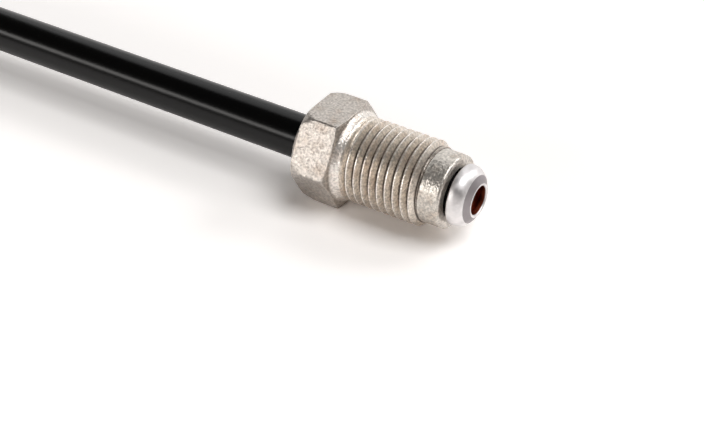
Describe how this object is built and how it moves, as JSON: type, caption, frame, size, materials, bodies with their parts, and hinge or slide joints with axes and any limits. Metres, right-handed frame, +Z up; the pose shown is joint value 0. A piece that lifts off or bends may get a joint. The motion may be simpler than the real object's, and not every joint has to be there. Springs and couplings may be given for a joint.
{
  "type": "brake line",
  "caption": "Straight rigid brake pipe: coated steel tube with a bubble flare on each end and loose hexagonal tube nuts with fine metric threads.",
  "frame": {"origin": "middle of the line's length, below the tube's axis, on the surface that the lower flats of the two nuts rest on", "axes": "+X along the tube towards the pictured end, +Z up, square to the level flats of the hexagons"},
  "size_m": [0.203, 0.0128, 0.0111],
  "materials": {
    "flare_steel": "bare cold-formed low-carbon steel, bright and slightly uneven; the bore is copper brazed",
    "polymer_coating": "glossy black extruded polyamide over the steel",
    "plated_steel": "zinc-nickel plating, warm grey, satin matt with a fine crystalline grain"
  },
  "bodies": {
    "line": {"steel_tube": "flare_steel", "black_coating": "polymer_coating"},
    "front_tube_nut": {"front_nut": "plated_steel"},
    "rear_tube_nut": {"rear_nut": "plated_steel"}
  },
  "joints": [
    {"name": "front_nut_swivel", "type": "hinge", "parent": "line", "child": "front_tube_nut", "pos_m": [0.083, 0, 0.00555], "axis": [1, 0, 0], "continuous": true},
    {"name": "rear_nut_swivel", "type": "hinge", "parent": "line", "child": "rear_tube_nut", "pos_m": [-0.083, 0, 0.00555], "axis": [-1, 0, 0], "continuous": true}
  ]
}
